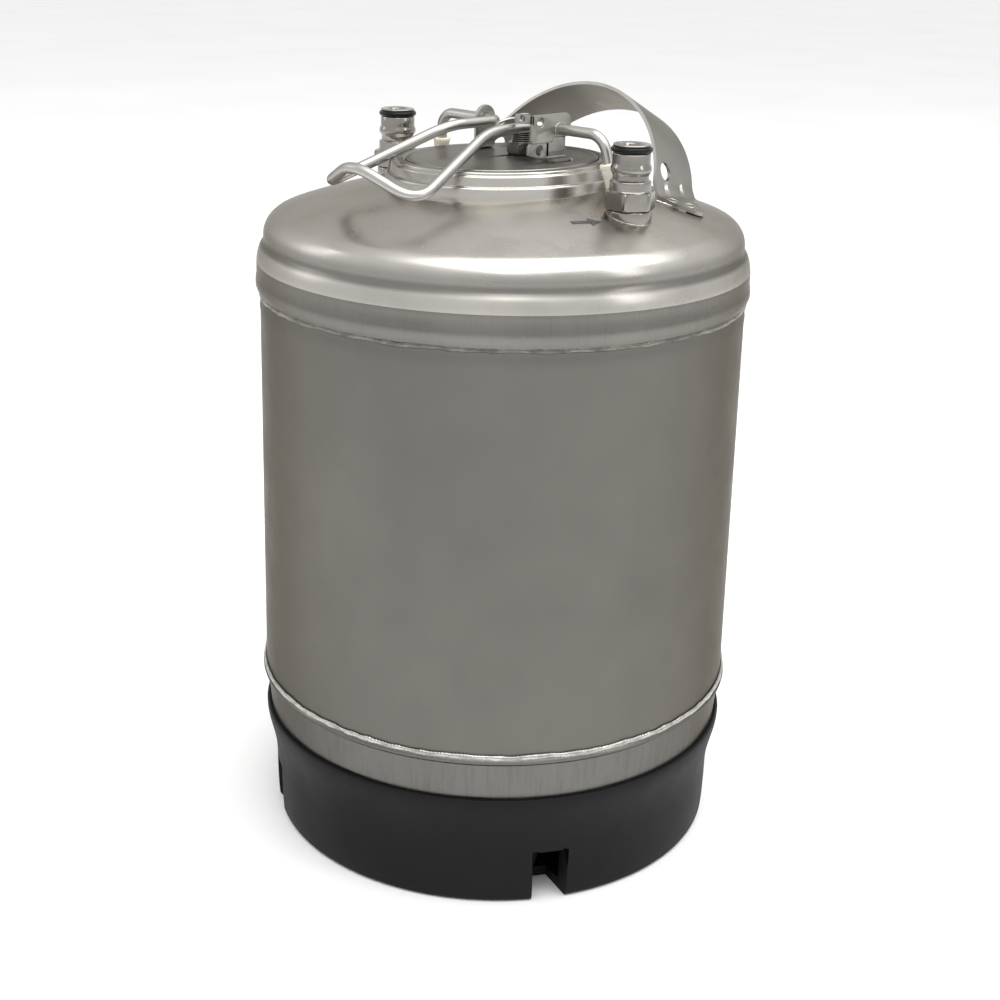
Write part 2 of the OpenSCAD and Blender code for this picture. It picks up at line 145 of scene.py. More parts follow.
def on_dome(x, y, lift):
    """Point over the crown at x, y, raised by lift."""
    return Vector((x, y, dome_z(math.hypot(x, y)) + lift))


# ---------------------------------------------------------------- materials

EDGE_TONE = (0.5, 0.485, 0.455, 1)
HEAT_TINT = (0.5, 0.42, 0.32, 1)


def new_material(name, color, metallic, roughness, **sockets):
    """A Principled material, its shader and a helper that adds linked nodes."""
    mat = bpy.data.materials.new(name)
    mat.use_nodes = True
    tree = mat.node_tree
    shader = tree.nodes["Principled BSDF"]
    shader.inputs["Base Color"].default_value = (*color, 1)
    shader.inputs["Metallic"].default_value = metallic
    shader.inputs["Roughness"].default_value = roughness
    for key, value in sockets.items():
        shader.inputs[key.replace("_", " ")].default_value = value

    def add(kind, inputs=None, **settings):
        node = tree.nodes.new("ShaderNode" + kind)
        for key, value in settings.items():
            setattr(node, key, value)
        for key, value in (inputs or {}).items():
            if isinstance(value, bpy.types.NodeSocket):
                tree.links.new(value, node.inputs[key])
            else:
                node.inputs[key].default_value = value
        return node

    def link(a, b):
        tree.links.new(a, b)
    return mat, shader, add, link


def stretched(add, scale):
    """Object coordinates scaled per axis."""
    coords = add("TexCoord")
    mapping = add("Mapping", {"Vector": coords.outputs["Object"], "Scale": scale})
    return mapping.outputs["Vector"]


def noise_value(add, scale, size, detail=3.0, rough=0.5):
    """Noise from 0 to 1 over object coordinates."""
    node = add("TexNoise", {"Vector": stretched(add, scale), "Scale": size, "Detail": detail,
                            "Roughness": rough})
    return node.outputs["Fac"]


def remap(add, value, low, high, to_low, to_high):
    node = add("MapRange", {"Value": value, "From Min": low, "From Max": high,
                            "To Min": to_low, "To Max": to_high})
    return node.outputs["Result"]


def mix_color(add, factor, a, b, blend="MIX"):
    node = add("Mix", {0: factor, 6: a, 7: b}, data_type="RGBA", blend_type=blend)
    return node.outputs[2]


def bump(add, link, shader, heights):
    """Chains (height, strength, distance) into the shader's normal."""
    normal = None
    for height, strength, distance in heights:
        inputs = {"Height": height, "Strength": strength, "Distance": distance}
        if normal:
            inputs["Normal"] = normal
        normal = add("Bump", inputs).outputs["Normal"]
    link(normal, shader.inputs["Normal"])


def heat_tint_and_painted_shade(add, tone, color):
    """Heat tint round both posts' welds, and painted shade: the band between the step and the knuckle made darker,
    fading out up the knuckle.
    """
    coords = add("TexCoord")
    parts = add("SeparateXYZ", {"Vector": coords.outputs["Object"]})
    side = add("Math", {0: parts.outputs["X"]}, operation="ABSOLUTE")
    spot = add("CombineXYZ", {"X": side.outputs[0], "Y": parts.outputs["Y"],
                              "Z": parts.outputs["Z"]})
    away = add("VectorMath", {0: spot.outputs[0], 1: (POST_X * MM, 0, POST_Z * MM)},
               operation="DISTANCE")
    ring = remap(add, away.outputs["Value"], 0.0105, 0.0165, 0.3, 0.0)
    tone = mix_color(add, ring, tone, HEAT_TINT)
    height = parts.outputs["Z"]
    # Painted shade: between the band's step and the knuckle the colour is mixed towards 0.3 of itself, fading out
    # up the knuckle.
    skirt = remap(add, height, (KNUCKLE_Z - 1) * MM, (KNUCKLE_Z + 5) * MM, 0.8, 0.0)
    above_step = remap(add, height, (BAND_TOP + 3) * MM, (BAND_TOP + 4.6) * MM, 0.0, 1.0)
    painted_shade_mix = add("Math", {0: skirt, 1: above_step}, operation="MULTIPLY")
    return mix_color(add, painted_shade_mix.outputs[0], tone, (*[c * 0.3 for c in color], 1))


def steel(name, color, rough, streaks=0.0, mottle=0.06, grain=0.25, spread=0.07, dome=False):
    """Satin stainless steel: cloudy tone, fine grain, and streaks, or on the dome heat tint and painted shade
    under the knuckle, where asked.
    """
    mat, shader, add, link = new_material(name, color, 1.0, rough, Specular_Tint=EDGE_TONE)
    dark = (*[c * (1 - 2.2 * mottle) for c in color], 1)
    light = (*[min(1, c * (1 + mottle)) for c in color], 1)
    cloud = noise_value(add, (1, 1, 0.6), 14, 4, 0.55)
    tone = mix_color(add, remap(add, cloud, 0.3, 0.7, 0, 1), dark, light)
    speck = noise_value(add, (1, 1, 1), 900, 2)
    speckled = (*[c * 0.9 for c in color], 1)
    tone = mix_color(add, remap(add, speck, 0.45, 0.75, 0, 0.35), tone, speckled)
    upright = noise_value(add, (1, 1, 0.03), 520, 4, 0.6)
    if streaks:
        stripe = remap(add, upright, 0.48, 0.72, 0, streaks)
        tone = mix_color(add, stripe, tone, (*[c * 0.42 for c in color], 1))
    if dome:
        # Heat tint round the posts, and painted shade under the knuckle.
        tone = heat_tint_and_painted_shade(add, tone, color)
    link(tone, shader.inputs["Base Color"])
    blotch = noise_value(add, (1, 1, 1), 40, 5, 0.6)
    link(remap(add, blotch, 0.3, 0.7, rough - spread, rough + spread), shader.inputs["Roughness"])
    fine = noise_value(add, (1, 1, 0.12), 1500, 3)
    wave = noise_value(add, (1, 1, 0.7), 22, 2)
    bump(add, link, shader, [(fine, grain, 0.00004), (wave, 0.12, 0.0006)])
    return mat


def weld_metal(name, color):
    """Rough bright bead metal with darker patches."""
    mat, shader, add, link = new_material(name, color, 1.0, 0.3)
    patch = noise_value(add, (1, 1, 2), 160, 4, 0.6)
    tone = mix_color(add, remap(add, patch, 0.35, 0.7, 0, 1), (*color, 1),
                     (*[c * 0.45 for c in color], 1))
    link(tone, shader.inputs["Base Color"])
    link(remap(add, patch, 0.3, 0.7, 0.22, 0.45), shader.inputs["Roughness"])
    bump(add, link, shader, [(noise_value(add, (1, 1, 1), 700, 3), 0.5, 0.0002)])
    return mat


def turned(name, color, rough):
    """Machined steel with fine lathe rings."""
    mat, shader, add, link = new_material(name, color, 1.0, rough)
    rings = noise_value(add, (0.02, 0.02, 1), 3000, 2)
    patch = noise_value(add, (1, 1, 1), 120, 4)
    tone = mix_color(add, remap(add, patch, 0.35, 0.7, 0, 0.5), (*color, 1),
                     (*[c * 0.72 for c in color], 1))
    link(tone, shader.inputs["Base Color"])
    link(remap(add, patch, 0.3, 0.7, rough - 0.04, rough + 0.1), shader.inputs["Roughness"])
    bump(add, link, shader, [(rings, 0.35, 0.00005)])
    return mat


def rubber(name, color, rough, grain_size, depth):
    """Black moulded rubber with pores and slow waves."""
    mat, shader, add, link = new_material(name, color, 0.0, rough, Specular_IOR_Level=0.2)
    patch = noise_value(add, (1, 1, 1), 26, 5, 0.6)
    tone = mix_color(add, remap(add, patch, 0.3, 0.72, 0, 1), (*[c * 0.75 for c in color], 1),
                     (*[c * 1.5 for c in color], 1))
    link(tone, shader.inputs["Base Color"])
    link(remap(add, patch, 0.3, 0.7, rough - 0.08, rough + 0.08), shader.inputs["Roughness"])
    pores = noise_value(add, (1, 1, 1), grain_size, 3)
    waves = noise_value(add, (1, 1, 1), 60, 2)
    bump(add, link, shader, [(pores, 0.3, depth), (waves, 0.15, 0.0005)])
    return mat


def cream_plastic():
    mat, shader, add, link = new_material("cream_plastic", (0.78, 0.73, 0.62), 0.0, 0.42,
                                          Subsurface_Weight=0.15, Subsurface_Scale=0.002)
    patch = noise_value(add, (1, 1, 1), 180, 4)
    tone = mix_color(add, remap(add, patch, 0.35, 0.7, 0, 1), (0.82, 0.78, 0.68, 1),
                     (0.66, 0.6, 0.48, 1))
    link(tone, shader.inputs["Base Color"])
    bump(add, link, shader, [(noise_value(add, (1, 1, 1), 1400, 2), 0.2, 0.00005)])
    return mat


def etched():
    mat, shader, add, link = new_material("etched", (0.05, 0.048, 0.045), 0.4, 0.6)
    patch = noise_value(add, (1, 1, 1), 900, 3)
    tone = mix_color(add, remap(add, patch, 0.4, 0.75, 0, 1), (0.035, 0.034, 0.032, 1),
                     (0.13, 0.125, 0.118, 1))
    link(tone, shader.inputs["Base Color"])
    return mat


def floor_material():
    mat, shader, add, link = new_material("floor_paint", (0.9, 0.9, 0.895), 0.0, 0.65)
    patch = noise_value(add, (1, 1, 1), 3, 3)
    tone = mix_color(add, remap(add, patch, 0.3, 0.7, 0, 1), (0.89, 0.89, 0.885, 1),
                     (0.92, 0.92, 0.915, 1))
    link(tone, shader.inputs["Base Color"])
    return mat


SHELL = steel("shell_steel", (0.14, 0.134, 0.122), 0.36, mottle=0.05, grain=0.35)
DOME = steel("dome_steel", (0.48, 0.463, 0.43), 0.3, mottle=0.07, grain=0.3, dome=True)
BAND = steel("band_steel", (0.19, 0.183, 0.169), 0.28, streaks=0.12, mottle=0.06)
CHIME = steel("chime_steel", (0.15, 0.145, 0.136), 0.34, streaks=0.3, mottle=0.08)
SHEET_STEEL = steel("sheet_steel", (0.36, 0.35, 0.328), 0.34, mottle=0.08)
WIRE_STEEL = steel("wire_steel", (0.46, 0.448, 0.424), 0.34, mottle=0.05, grain=0.2)
DULL_STEEL = steel("dull_steel", (0.42, 0.41, 0.39), 0.4, mottle=0.1)
WELD = weld_metal("weld_bead", (0.52, 0.505, 0.47))
DARK_WELD = weld_metal("weld_line", (0.2, 0.193, 0.178))
TURNED = turned("turned_steel", (0.28, 0.268, 0.248), 0.16)
VALVE_METAL = turned("valve_metal", (0.12, 0.115, 0.105), 0.3)
BOOT = rubber("boot_rubber", (0.0022, 0.0022, 0.0024), 0.6, 700, 0.0001)
SEAL = rubber("seal_rubber", (0.004, 0.004, 0.004), 0.3, 1400, 0.00003)
CREAM = cream_plastic()
ETCHED = etched()


# ---------------------------------------------------------------- mesh helpers

def place(obj, body, nodes=()):
    """Rides the piece on its body and hides the nodes that it stands for."""
    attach(obj, body)
    if nodes:
        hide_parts(*nodes)


def make_mesh(name, points, faces, material, angle=35):
    """A smooth-shaded mesh object from points in millimetres, outward normals made sure of."""
    mesh = bpy.data.meshes.new(name)
    mesh.from_pydata([Vector(p) * MM for p in points], [], faces)
    mesh.materials.append(material)
    work = bmesh.new()
    work.from_mesh(mesh)
    bmesh.ops.remove_doubles(work, verts=work.verts, dist=1e-7)
    bmesh.ops.recalc_face_normals(work, faces=work.faces)
    work.to_mesh(mesh)
    work.free()
    mesh.shade_smooth()
    mesh.set_sharp_from_angle(angle=math.radians(angle))
    obj = bpy.data.objects.new(name, mesh)
    bpy.context.scene.collection.objects.link(obj)
    return obj


def loft(name, rings, material, closed=False, angle=35):
    """Joins equal rings of points. Closed joins last to first; otherwise both ends are capped."""
    count, sides = len(rings), len(rings[0])
    points = [p for ring in rings for p in ring]
    faces = []
    for i in range(count if closed else count - 1):
        a, b = i * sides, (i + 1) % count * sides
        faces += [(a + k, a + (k + 1) % sides, b + (k + 1) % sides, b + k) for k in range(sides)]
    if not closed:
        faces += [tuple(range(sides))[::-1], tuple(range((count - 1) * sides, count * sides))]
    return make_mesh(name, points, faces, material, angle)


def revolve(name, outline, material, centre=(0, 0, 0), steps=192, radius_at=None, angle=35):
    """Turns a closed outline of (radius, height) about an upright axis at centre."""
    base = Vector(centre)
    rings = []
    for i in range(steps):
        turn = TAU * i / steps
        ring = []
        for r, z in outline:
            rr = radius_at(r, z, turn) if radius_at else r
            ring.append(base + Vector((rr * math.cos(turn), rr * math.sin(turn), z)))
        rings.append(ring)
    return loft(name, rings, material, closed=True, angle=angle)


def arc(cx, cz, r, start, end, steps=8):
    """Points on an arc, angles in degrees from the +r direction."""
    angles = [math.radians(start + (end - start) * i / steps) for i in range(steps + 1)]
    return [(cx + r * math.cos(a), cz + r * math.sin(a)) for a in angles]


def corner(a, b, c, reach, steps=8):
    """Points of a smooth turn that replaces the corner b of the run a-b-c."""
    start = b + (a - b).normalized() * reach
    end = b + (c - b).normalized() * reach
    out = []
    for i in range(steps + 1):
        t = i / steps
        out.append(start * (1 - t) ** 2 + b * (2 * t * (1 - t)) + end * t * t)
    return out


def softened(outline, reach=0.35, steps=3):
    """A closed (radius, height) outline with every corner eased."""
    points = [Vector(p).to_2d() for p in outline]
    out = []
    for i, p in enumerate(points):
        before, after = points[i - 1], points[(i + 1) % len(points)]
        room = min(reach, (before - p).length * 0.45, (after - p).length * 0.45)
        out += [tuple(q) for q in corner(before, p, after, room, steps)]
    return out


def tube(name, path, radius, material, sides=24, closed=False, radius_at=None):
    """A round bar along a path, with a frame carried along so that it never twists."""
    count = len(path)
    tangents = []
    for i in range(count):
        if closed:
            tangents.append((path[(i + 1) % count] - path[i - 1]).normalized())
        else:
            tangents.append((path[min(i + 1, count - 1)] - path[max(i - 1, 0)]).normalized())
    side = tangents[0].orthogonal().normalized()
    rings = []
    for i, p in enumerate(path):
        side = (side - tangents[i] * side.dot(tangents[i])).normalized()
        other = tangents[i].cross(side)
        r = radius_at(i) if radius_at else radius
        rings.append([p + (side * math.cos(TAU * k / sides) + other * math.sin(TAU * k / sides)) * r
                      for k in range(sides)])
    return loft(name, rings, material, closed=closed, angle=60)


def round_bar(points, reach, steps=10):
    """A path whose inner corners are all turned over the same reach."""
    out = [points[0]]
    for a, b, c in zip(points, points[1:], points[2:]):
        out += corner(a, b, c, reach, steps)
    return out + [points[-1]]


def cut(obj, cutters):
    """Subtracts the cutters from obj, throws them away and sets the shading again."""
    for cutter in cutters:
        step = obj.modifiers.new("cut", "BOOLEAN")
        step.operation = "DIFFERENCE"
        step.solver = "EXACT"
        step.object = cutter
        bpy.context.view_layer.update()
        result = bpy.data.meshes.new_from_object(
            obj.evaluated_get(bpy.context.evaluated_depsgraph_get()))
        obj.modifiers.clear()
        obj.data = result
        bpy.data.objects.remove(cutter)
    obj.data.shade_smooth()
    obj.data.set_sharp_from_angle(angle=math.radians(35))


def ease_edges(obj, width):
    """Rounds the sharp edges over width."""
    soften = obj.modifiers.new("edge", "BEVEL")
    soften.width = width * MM
    soften.segments = 2
    soften.angle_limit = math.radians(50)
    soften.limit_method = "ANGLE"


def oval_loop(offset, z, steps=160):
    """Points of the hatch's oval, moved in by offset."""
    a, b = COLLAR_A - offset, COLLAR_B - offset
    return [Vector((b * math.cos(TAU * i / steps), HATCH_Y + a * math.sin(TAU * i / steps), z))
            for i in range(steps)]


def oval_sweep(name, outline, material, steps=160):
    """Carries a closed outline of (inward offset, height) round the hatch's oval."""
    loops = [oval_loop(d, z, steps) for d, z in outline]
    rings = [[loop[i] for loop in loops] for i in range(steps)]
    return loft(name, rings, material, closed=True)


# ---------------------------------------------------------------- vessel

def build_shell():
    outer = [(BODY_R, LOWER_WELD), (BODY_R, 82), (BODY_R + 0.12, 84), (BODY_R, 86),
             (BODY_R, 160), (BODY_R, 249), (BODY_R + 0.25, 251.5), (BODY_R, 254),
             (BODY_R, UPPER_WELD)]
    inner = [(BODY_R - SHEET, UPPER_WELD), (BODY_R - SHEET, LOWER_WELD)]
    obj = revolve("shell_wall", outer + inner, SHELL, steps=256)
    place(obj, "keg", ["body_shell"])


def hatch_radius(turn):
    """Distance from the keg's axis to the collar's outside in the direction turn."""
    a, b = COLLAR_A - 0.4, COLLAR_B - 0.4
    c, s = math.cos(turn), math.sin(turn)
    qa = (c / b) ** 2 + (s / a) ** 2
    qb = -2 * s * HATCH_Y / a ** 2
    qc = (HATCH_Y / a) ** 2 - 1
    return (-qb + math.sqrt(qb * qb - 4 * qa * qc)) / (2 * qa)


def dome_profile(shrink):
    """Outer face of the dome from the crown's edge down to the weld, moved in by shrink."""
    edge = math.degrees(CROWN_EDGE)
    points = arc(KNUCKLE_C, KNUCKLE_Z, KNUCKLE_R - shrink, 90 - edge, 0, 14)
    s = shrink
    points += [(SKIRT_R - s, BAND_TOP + 7.2), (SKIRT_R + 0.2 - s, BAND_TOP + 6),
               (SKIRT_R + 0.75 - s, BAND_TOP + 4.8), (BAND_R - 1.75 - s, BAND_TOP + 3.6),
               (BAND_R - 1.15 - s, BAND_TOP + 2.2), (BAND_R - 0.65 - s, BAND_TOP + 0.6),
               (BAND_R - 0.28 - s, BAND_TOP - 1.2), (BAND_R - 0.07 - s, BAND_TOP - 3),
               (BAND_R - s, BAND_TOP - 4.8),
               (BAND_R - s, UPPER_WELD + 8.6), (BAND_R + 0.35 - s, UPPER_WELD + 7.4),
               (BODY_R + 1.95 - s, UPPER_WELD + 6), (BODY_R + 1.95 - s, UPPER_WELD + 3.9),
               (BODY_R + 1.3 - s, UPPER_WELD + 2.3), (BODY_R + 0.5 - s, UPPER_WELD + 1),
               (BODY_R - s, UPPER_WELD)]
    return points


def build_dome():
    steps, crown_rows = 256, 22
    edge_r = CROWN_R * math.sin(CROWN_EDGE)
    outer, inner = dome_profile(0), dome_profile(SHEET)
    rings = []
    for i in range(steps):
        turn = TAU * i / steps
        start = hatch_radius(turn)
        radii = [start + (edge_r - start) * k / crown_rows for k in range(crown_rows)]
        top = [(r, dome_z(r)) for r in radii]
        below = [(r, dome_z(r) - SHEET) for r in radii]
        loop = top + outer + inner[::-1] + below[::-1]
        c, s = math.cos(turn), math.sin(turn)
        rings.append([Vector((r * c, r * s, z)) for r, z in loop])
    obj = loft("dome_skin", rings, DOME, closed=True, angle=50)
    # Faces below BAND_TOP - 3 take the darker band steel. Dome and band tones differ partly as finish and partly
    # as painted light: the boundary sits below the rounded shoulder, so the shoulder keeps the lighter dome colour
    # as a painted highlight.
    obj.data.materials.append(BAND)
    for face in obj.data.polygons:
        if face.center.z < (BAND_TOP - 3) * MM:
            face.material_index = 1
    place(obj, "keg", ["top_dome"])


def build_bowl():
    def profile(s):
        points = [(BODY_R - s, LOWER_WELD), (113.1 - s, 74.9), (113.6 - s, 74), (113.3 - s, 72.9),
                  (112.1 - s, 72), (CHIME_R + 0.1 - s, 71.2), (CHIME_R - s, 68),
                  (CHIME_LOW_R - s, CHIME_LOW_Z)]
        points += arc(BOWL_C, CHIME_LOW_Z, BOWL_R - s, 0, math.degrees(BOWL_EDGE) - 90, 16)[1:]
        edge_r = (DISH_R - s) * math.sin(BOWL_EDGE)
        for k in range(1, 12):
            r = edge_r * (1 - k / 12) + 0.5
            points.append((r, DISH_Z - math.sqrt((DISH_R - s) ** 2 - r * r)))
        return points
    obj = revolve("bottom_pressing", profile(0) + profile(SHEET)[::-1], CHIME, steps=256)
    place(obj, "keg", ["bottom_bowl"])


def girth_weld(name, radius, z, height, proud, seed, material):
    """Irregular ring of weld metal with fine overlapping ripples."""
    steps, sides, ripples = 1440, 10, 430
    rings = []
    for i in range(steps):
        turn = TAU * i / steps
        spot = Vector((math.cos(turn), math.sin(turn), seed))
        wander = noise.noise(spot * 9) * 0.55 + noise.noise(spot * 31) * 0.3
        swell = 1 + 0.35 * noise.noise(spot * 17) + 0.1 * math.sin(turn * ripples)
        ring = []
        for k in range(sides):
            a = TAU * k / sides
            r = radius + proud * swell * math.cos(a)
            ring.append(Vector((r * math.cos(turn), r * math.sin(turn),
                                z + wander + height * swell * math.sin(a))))
        rings.append(ring)
    obj = loft(name, rings, material, closed=True, angle=80)
    place(obj, "keg")


def build_boot():
    """The boot with a hole in its floor and drain notches through its wall."""
    outer = [(BOOT_HOLE_R, 0), (103.6, 0)] + arc(103.9, 2.9, 2.9, -90, -8, 6)
    outer += [(107.2, 8), (107.45, 16), (107.6, 26), (107.9, 31), (108.7, 36.5), (109.8, 41.5),
              (110.9, 45.8)]
    outer += [(111.6, 48.6), (112.0, 51)] + arc(111.0, 53.2, 1.1, 0, 150, 6)
    inner = [(CHIME_LOW_R + 0.45, 54.2), (CHIME_LOW_R + 0.4, 49)]
    inner += arc(BOWL_C, CHIME_LOW_Z, BOWL_R + 0.35, -2, -40, 8)
    inner += [(99.2, 24), (99, 6.4), (97.6, 5), (60, 5), (BOOT_HOLE_R + 0.6, 4.7),
              (BOOT_HOLE_R, 4)]
    boot = revolve("boot_moulding", outer + inner, BOOT, steps=240)
    cutters = []
    for i in range(NOTCH_COUNT):
        turn = math.radians(NOTCH_ANGLE + i * 360 / NOTCH_COUNT)
        c, s = math.cos(turn), math.sin(turn)
        plan = [(87.4, -4), (113.4, -9.5), (113.4, 9.5), (87.4, 4)]
        ring = [Vector((x * c - y * s, x * s + y * c, 0)) for x, y in plan]
        cutters.append(loft("notch", [[p + Vector((0, 0, z)) for p in ring] for z in (-5, NOTCH_H)],
                            BOOT))
    cut(boot, cutters)
    ease_edges(boot, 0.5)
    place(boot, "keg", ["rubber_boot"])


# ---------------------------------------------------------------- hatch and lid

def build_collar():
    outline = [(1.8, 304), (0.1, 304), (-1.2, 305.6), (-0.5, 306.8), (-0.1, 308.4), (0, 309.6)]
    outline += arc(1.1, 312.4, 1.1, 180, 90, 5)
    outline += [(1.9, 313.4), (2.3, 313.7), (2.5, 316.4)] + arc(3.4, 317.2, 0.8, 190, 90, 5)
    outline += [(3.9, 317.95), (4.2, 318.2), (4.3, 318.7)] + arc(5.2, RIM_Z - 0.8, 0.8, 180, 90, 5)
    outline += [(LIP_W - 0.8, RIM_Z), (LIP_W, RIM_Z - 0.5), (LIP_W, RIM_Z - 2.2),
                (4.4, RIM_Z - 2.2), (4.0, 315), (3.8, 312.2), (2.0, 312)]
    obj = oval_sweep("hatch_ring", outline, DOME)
    place(obj, "keg", ["hatch_collar"])


def build_lid():
    rows = [(LIP_W + 2.4, FLANGE_Z - 1.8), (LIP_W - 4.2, FLANGE_Z - 1.8), (LIP_W - 4.2, FLANGE_Z),
            (LIP_W + 0.35, FLANGE_Z), (LIP_W + 0.25, LID_TOP - 0.9),
            (LIP_W + 0.35, LID_TOP - 0.35),
            (LIP_W + 0.7, LID_TOP - 0.08), (LIP_W + 1.4, LID_TOP), (LIP_W + 2.4, LID_TOP - 0.05),
            (LIP_W + 3.4, LID_TOP - 0.2), (LIP_W + 4.4, LID_TOP - 0.25)]
    rows += [(LIP_W + 4.4 + k * 3.4, LID_TOP - 0.25 + 0.35 * math.sin(math.pi / 2 * k / 10))
             for k in range(1, 11)]
    rows += [(LIP_W + 39, LID_TOP - 1.8), (LIP_W + 5.2, LID_TOP - 1.9)]
    place(oval_sweep("lid_pressing", rows, SHEET_STEEL), "lid", ["lid_plate"])
    section = [(LIP_W - 3.9, FLANGE_Z), (LIP_W - 3.9, FLANGE_Z + 1.9),
               (LIP_W - 3.3, FLANGE_Z + 2.4), (LIP_W - 1.5, FLANGE_Z + 2.4),
               (LIP_W - 0.9, FLANGE_Z + 1.9), (LIP_W - 0.9, FLANGE_Z)]
    place(oval_sweep("lid_gasket", section, SEAL), "lid", ["lid_seal"])


def plate(name, outline, holes, thickness, to_world, material, edge=0.25):
    """Flat sheet with round holes and eased edges; to_world maps (u, v, w) in millimetres."""
    curve = bpy.data.curves.new(name, "CURVE")
    curve.dimensions = "2D"
    curve.fill_mode = "BOTH"
    curve.extrude = thickness / 2 - edge
    curve.bevel_depth = edge
    curve.bevel_resolution = 2
    curve.offset = -edge
    loops = [outline]
    for u, v, r in holes:
        loops.append([(u + r * math.cos(TAU * i / 32), v + r * math.sin(TAU * i / 32))
                      for i in range(32)])
    for loop in loops:
        spline = curve.splines.new("POLY")
        spline.points.add(len(loop) - 1)
        for point, (u, v) in zip(spline.points, loop):
            point.co = (u, v, 0, 1)
        spline.use_cyclic_u = True
    holder = bpy.data.objects.new(name, curve)
    bpy.context.scene.collection.objects.link(holder)
    bpy.context.view_layer.update()
    flat = bpy.data.meshes.new_from_object(holder.evaluated_get(
        bpy.context.evaluated_depsgraph_get()))
    points = [to_world(*v.co) for v in flat.vertices]
    faces = [tuple(p.vertices) for p in flat.polygons]
    bpy.data.objects.remove(holder)
    return make_mesh(name, points, faces, material, 30)


def rounded_box(u0, v0, u1, v1, radii, steps=6):
    """Outline of a rectangle with corner radii given anticlockwise from the lower left."""
    out = []
    spots = [(u0, v0, 180), (u1, v0, 270), (u1, v1, 0), (u0, v1, 90)]
    for (u, v, start), r in zip(spots, radii):
        cu = u + r if u == u0 else u - r
        cv = v + r if v == v0 else v - r
        out += arc(cu, cv, r, start, start + 90, steps) if r > 0 else [(u, v)]
    return out


def join(name, objs):
    """Merges several objects into the first one's place under one name."""
    with bpy.context.temp_override(active_object=objs[0], selected_editable_objects=objs):
        bpy.ops.object.join()
    objs[0].name = name
    return objs[0]


def foot_and_beads(x, side):
    """Bent foot of an ear and the two weld beads that hold it."""
    parts = []
    low, high = EAR_Y0, EAR_Y0 + EAR_W
    path = [(x, LID_TOP + 4), (x, LID_TOP + 0.75), (x + side * 5.2, LID_TOP + 0.75)]
    run = round_bar([Vector((a, 0, b)) for a, b in path], 1.4, 6)
    half = EAR_T / 2
    loop = []
    for sign in (1, -1):
        pts = run if sign == 1 else run[::-1]
        for i, p in enumerate(pts):
            before, after = pts[max(i - 1, 0)], pts[min(i + 1, len(pts) - 1)]
            t = (after - before).normalized()
            loop.append(p + Vector((-t.z, 0, t.x)) * half)
    parts.append(loft("foot", [[p + Vector((0, y, 0)) for p in loop] for y in (low, high)],
                      SHEET_STEEL))
    for y in (low + 1, high - 1):
        path = [Vector((x + side * (1 + k), y + 0.25 * math.sin(k * 5), LID_TOP + 0.4))
                for k in range(6)]
        parts.append(tube("bead", path, 0.8, WELD, sides=10,
                          radius_at=lambda i: 0.75 + 0.15 * math.sin(i * 2.4)))
    return parts


def build_ears():
    """Two upright ears welded on the lid; the near one carries a web."""
    hole = (PIVOT.y, PIVOT.z, WIRE_R + 0.06)
    top_r = EAR_W / 2
    strip = [(EAR_Y0, LID_TOP + 2), (EAR_Y0 + EAR_W, LID_TOP + 2)]
    strip += arc(PIVOT.y, PIVOT.z, top_r, 0, 180, 20)
    for name, side, nodes in (("ear_far", -1, ["far_ear"]), ("ear_near", 1, ["near_ear"])):
        x = side * (EAR_X + EAR_T / 2)
        parts = [plate(name, strip, [hole], EAR_T, lambda u, v, w, x=x: (x + w, u, v),
                       SHEET_STEEL)]
        parts += foot_and_beads(x, side)
        if side > 0:
            web = [(GUARD_Y, LID_TOP + 3.4), (1.2, LID_TOP + 0.1), (3.5, LID_TOP + 0.1),
                   (3.5, LID_TOP + 8.4), (GUARD_Y + 1.2, LID_TOP + 8.4), (GUARD_Y, LID_TOP + 7.2)]
            parts.append(plate("web", web, [(-2.2, LID_TOP + 5, 2.3)], EAR_T,
                               lambda u, v, w, x=x: (x + w, u, v), SHEET_STEEL))
        place(join(name + "_sheet", parts), "lid", nodes)


def build_guard():
    """Folded sheet on the wire: a side plate, and a face plate towards the grip."""
    z0, z1, z2 = PIVOT.z - 5.5, PIVOT.z - 3.4, EAR_TOP
    end_y, low_r, high_r = 15.5, 1.2, 3.6
    side = [(GUARD_Y, z0 + 1.2), (GUARD_Y + 1.2, z0), (4, z0), (4, z1), (14.6, z1)]
    side += arc(end_y - low_r, z1 + low_r, low_r, -90, 0, 4)
    side += arc(end_y - high_r, z2 - high_r, high_r, 0, 90, 8)
    side += [(GUARD_Y, z2)]
    x = GUARD_X + GUARD_T / 2
    parts = [plate("side", side, [(PIVOT.y, PIVOT.z, WIRE_R - 0.05),
                                  (GUARD_Y + 5.6, PIVOT.z + 3.6, 2.1)],
                   GUARD_T, lambda u, v, w: (x + w, u, v), SHEET_STEEL)]
    left, right = ARM_X + 1, GUARD_X + GUARD_T
    face = rounded_box(left, PIVOT.z + WIRE_R + 0.6, right, z2, (0.6, 0, 0, 1.4))
    y = GUARD_Y + GUARD_T / 2
    parts.append(plate("face", face, [(ARM_X + 6, PIVOT.z + 5.2, 1.5)], GUARD_T,
                       lambda u, v, w: (u, y + w, v), SHEET_STEEL))
    bead = [Vector((GUARD_X + GUARD_T, PIVOT.y + (WIRE_R + 0.2) * math.cos(a),
                    PIVOT.z + (WIRE_R + 0.2) * math.sin(a)))
            for a in [TAU * i / 40 for i in range(40)]]
    parts.append(tube("tack", bead, 0.45, WELD, sides=8, closed=True,
                      radius_at=lambda i: 0.42 + 0.12 * math.sin(i * 1.9)))
    place(join("guard_sheet", parts), "bail", ["valve_guard"])


def hexagonal(flat):
    """Radius rule for revolve: outside the flats' circle, the section follows a hexagon."""
    def rule(r, z, turn):
        if r <= flat:
            return r
        wedge = turn % (math.pi / 3) - math.pi / 6
        return min(r, flat / math.cos(wedge))
    return rule


